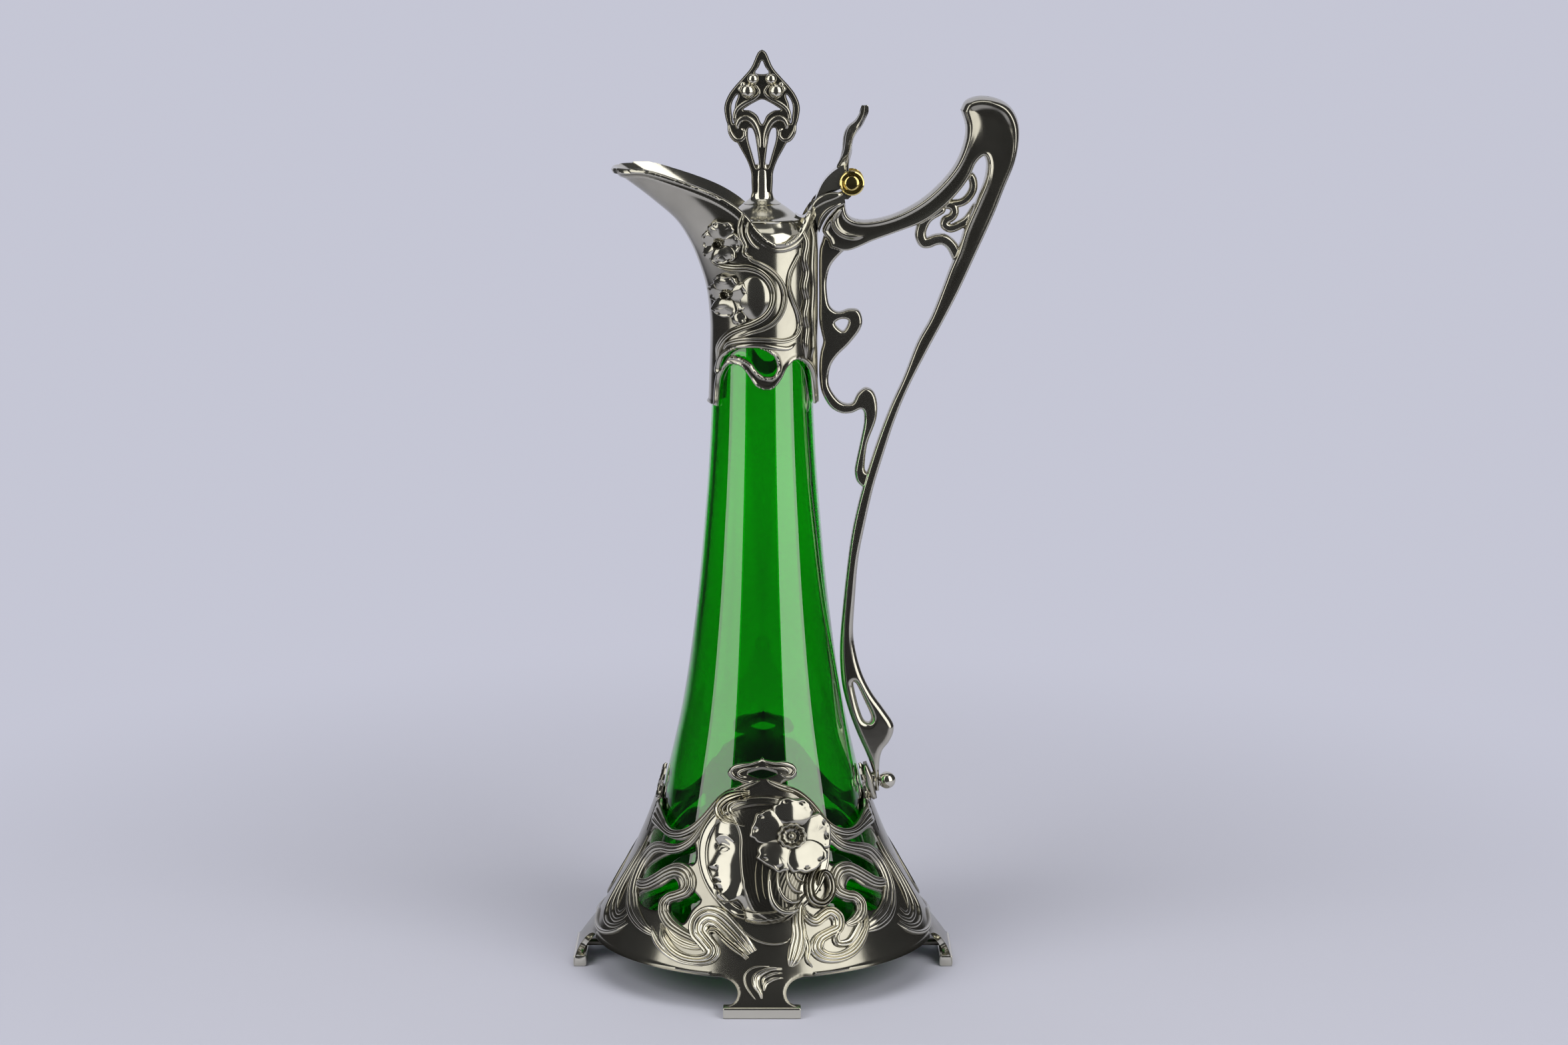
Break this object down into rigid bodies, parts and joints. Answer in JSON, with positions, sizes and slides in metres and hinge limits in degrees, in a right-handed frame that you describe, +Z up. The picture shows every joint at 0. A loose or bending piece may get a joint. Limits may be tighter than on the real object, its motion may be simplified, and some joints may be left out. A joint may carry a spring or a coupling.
{
  "type": "claret jug",
  "caption": "Tall flared green glass wine carafe in a cast openwork base, with a spout collar, a whiplash handle and a hinged lid with an openwork finial.",
  "frame": {"origin": "on the glass axis at the level of the table, under the middle of the four feet", "axes": "+Z up along the glass axis, -X towards the spout, +X towards the handle and the hinge, -Y towards the front medallion"},
  "size_m": [0.1926, 0.167, 0.4007],
  "materials": {
    "green_glass": "clear, saturated green, polished",
    "silver_plate": "silver-plated casting, polished heights and dark tarnished recesses",
    "polished_plate": "silver plate, polished",
    "brass": "polished",
    "steel": "plain turned",
    "cork": "plain cork",
    "plaster": "cast bedding, hidden"
  },
  "bodies": {
    "jug": {"glass_body": "green_glass", "base_panel_front": "silver_plate", "base_panel_back": "silver_plate", "base_side_left": "silver_plate", "base_side_right": "silver_plate", "glass_pads": "cork", "neck_mount": "silver_plate", "neck_bedding": "plaster", "hinge_saddle": "silver_plate", "hinge_pin": "steel", "hinge_cap_front": "brass", "hinge_cap_back": "brass", "handle": "silver_plate", "handle_screw": "polished_plate"},
    "lid": {"lid": "polished_plate", "lid_strap": "silver_plate", "thumbpiece": "silver_plate", "finial": "silver_plate", "finial_nut": "steel"}
  },
  "joints": [
    {"name": "lid_hinge", "type": "hinge", "parent": "jug", "child": "lid", "pos_m": [0.0381, 0, 0.3448], "axis": [0, 1, 0], "range_deg": [0, 78]}
  ]
}
